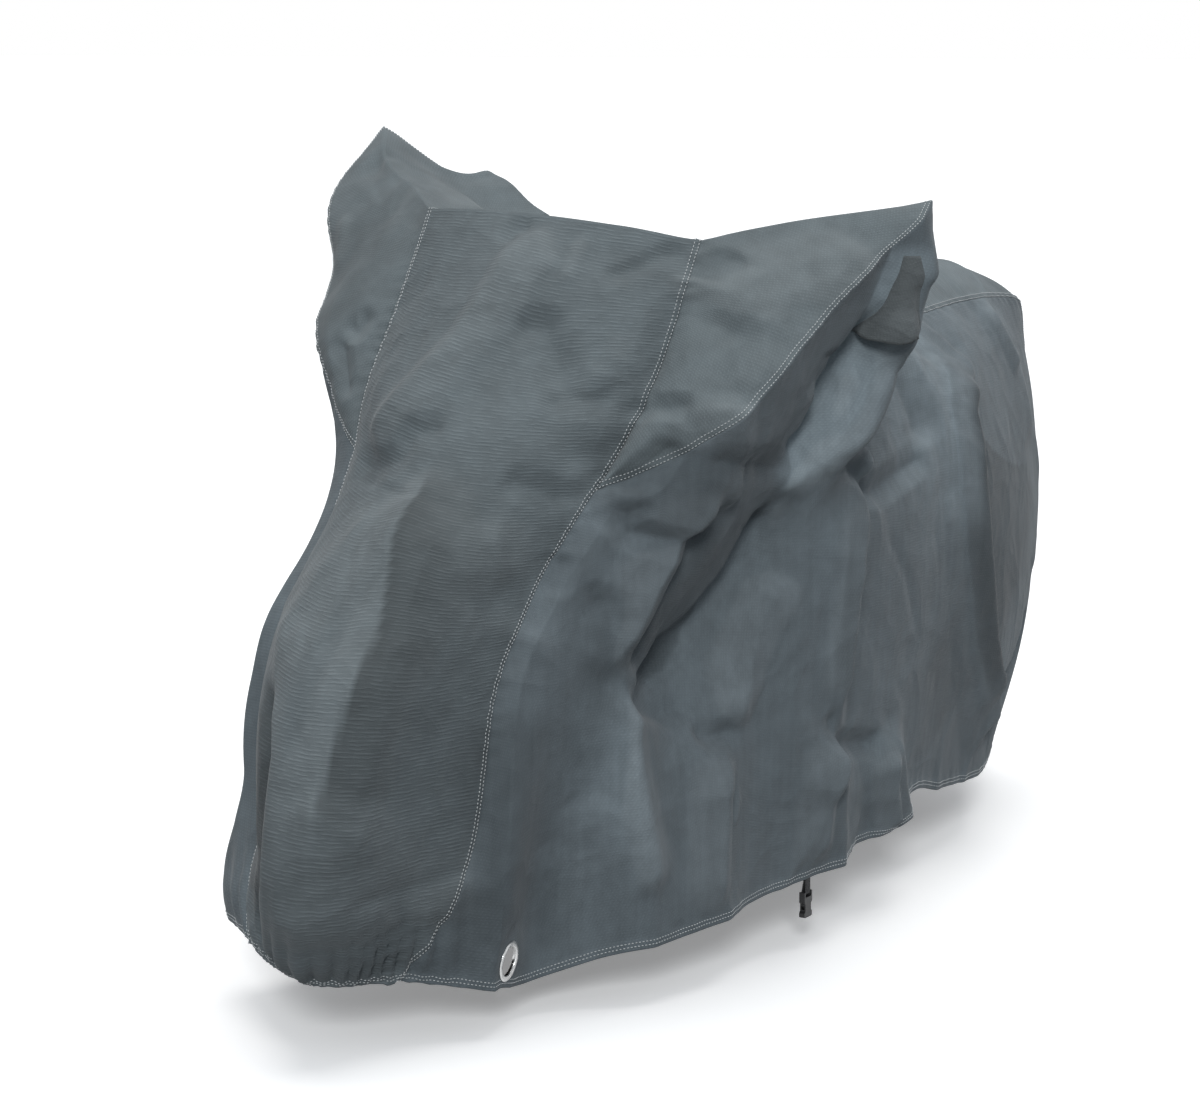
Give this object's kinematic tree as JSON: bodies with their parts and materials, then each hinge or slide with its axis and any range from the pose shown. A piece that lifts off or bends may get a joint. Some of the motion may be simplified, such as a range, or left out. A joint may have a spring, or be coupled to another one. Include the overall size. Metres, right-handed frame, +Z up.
{
  "type": "fitted motorcycle cover",
  "caption": "Fitted cloth cover in its draped shape, sewn from a centre panel, ear gussets over the bar ends and side panels, with lock eyelets, hooded vents and a belly strap.",
  "frame": {"origin": "inside of the centre panel at the crown above the tank, where what is under the cover carries it", "axes": "+X to the rear, +Z up, -Y the left-hand side, to which the cover leans"},
  "size_m": [2.0795, 0.8701, 1.1254],
  "materials": {
    "cover_cloth": "slate grey non-woven cloth, matt, finely ribbed",
    "eyelet_steel": "bright rolled steel",
    "webbing": "black woven webbing",
    "buckle_plastic": "black moulded plastic, slightly satin"
  },
  "bodies": {
    "root": {"centre_panel": "cover_cloth", "side_panel_left": "cover_cloth", "ear_gusset_left": "cover_cloth", "side_panel_right": "cover_cloth", "ear_gusset_right": "cover_cloth", "eyelet_corner_left": "cover_cloth", "eyelet_corner_right": "cover_cloth", "vent_hood_left": "cover_cloth", "vent_hood_right": "cover_cloth", "eyelet_left": "eyelet_steel", "eyelet_right": "eyelet_steel", "belly_strap": "webbing", "buckle_half": "buckle_plastic"}
  },
  "joints": []
}
